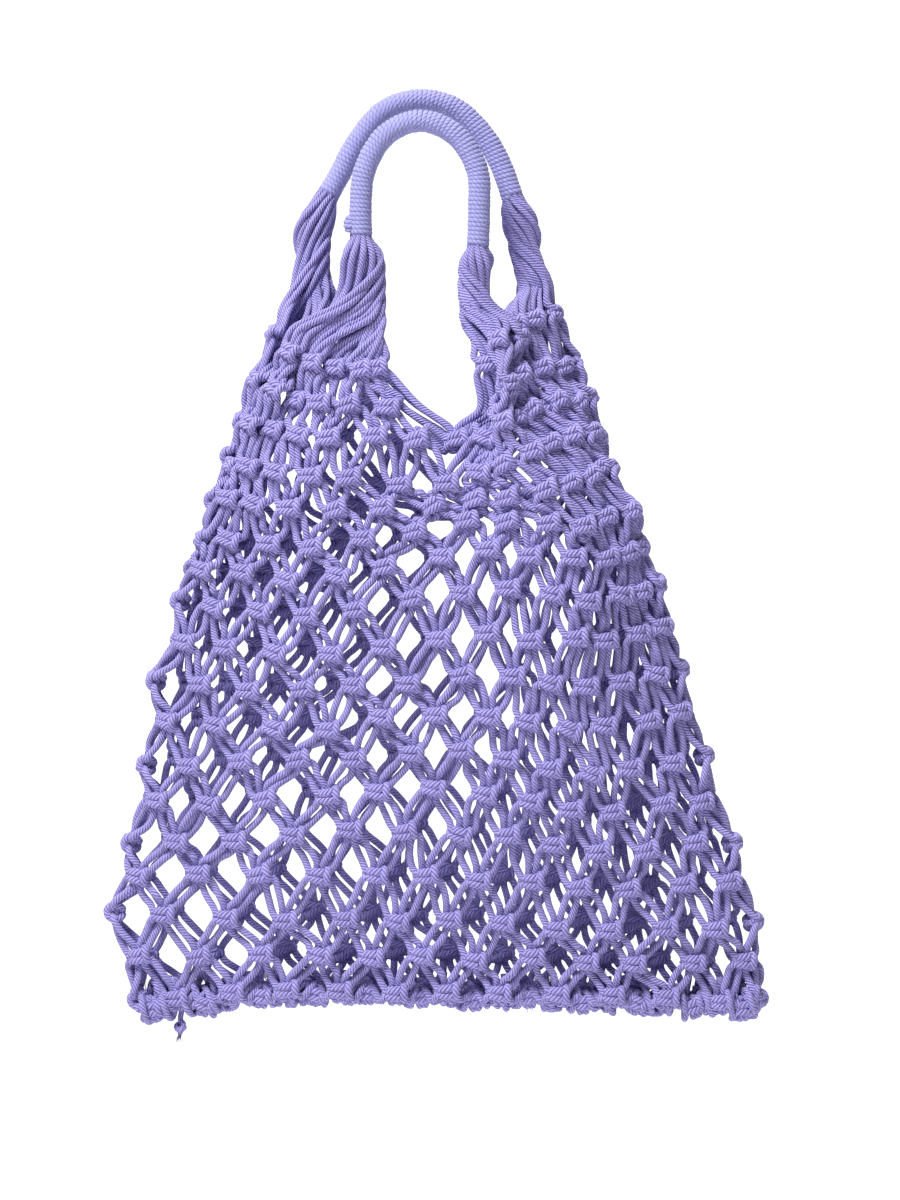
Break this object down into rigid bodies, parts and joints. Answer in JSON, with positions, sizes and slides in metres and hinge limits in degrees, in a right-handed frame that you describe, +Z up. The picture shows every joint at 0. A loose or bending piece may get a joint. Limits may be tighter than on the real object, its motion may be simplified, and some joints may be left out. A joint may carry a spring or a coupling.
{
  "type": "macrame net bag",
  "caption": "Soft net bag of knotted cotton cord with two wrapped arch grips, hanging open from the grips.",
  "frame": {"origin": "the underside of the front grip's arch, where a hand or hook holds the bag", "axes": "+Z up, +X to the right as the front is seen, -Y towards the viewer of the front"},
  "size_m": [0.3926, 0.0849, 0.5691],
  "materials": {
    "cord_cotton": "matte twisted cotton cord",
    "grip_cotton": "matte wrapped cotton cord"
  },
  "bodies": {
    "root": {"grip_front": "grip_cotton", "grip_back": "grip_cotton", "wrap_end": "grip_cotton", "leg_front_left": "cord_cotton", "leg_front_right": "cord_cotton", "leg_back_right": "cord_cotton", "leg_back_left": "cord_cotton", "net_body": "cord_cotton", "bottom_seam": "cord_cotton", "cord_tail": "cord_cotton"}
  },
  "joints": []
}
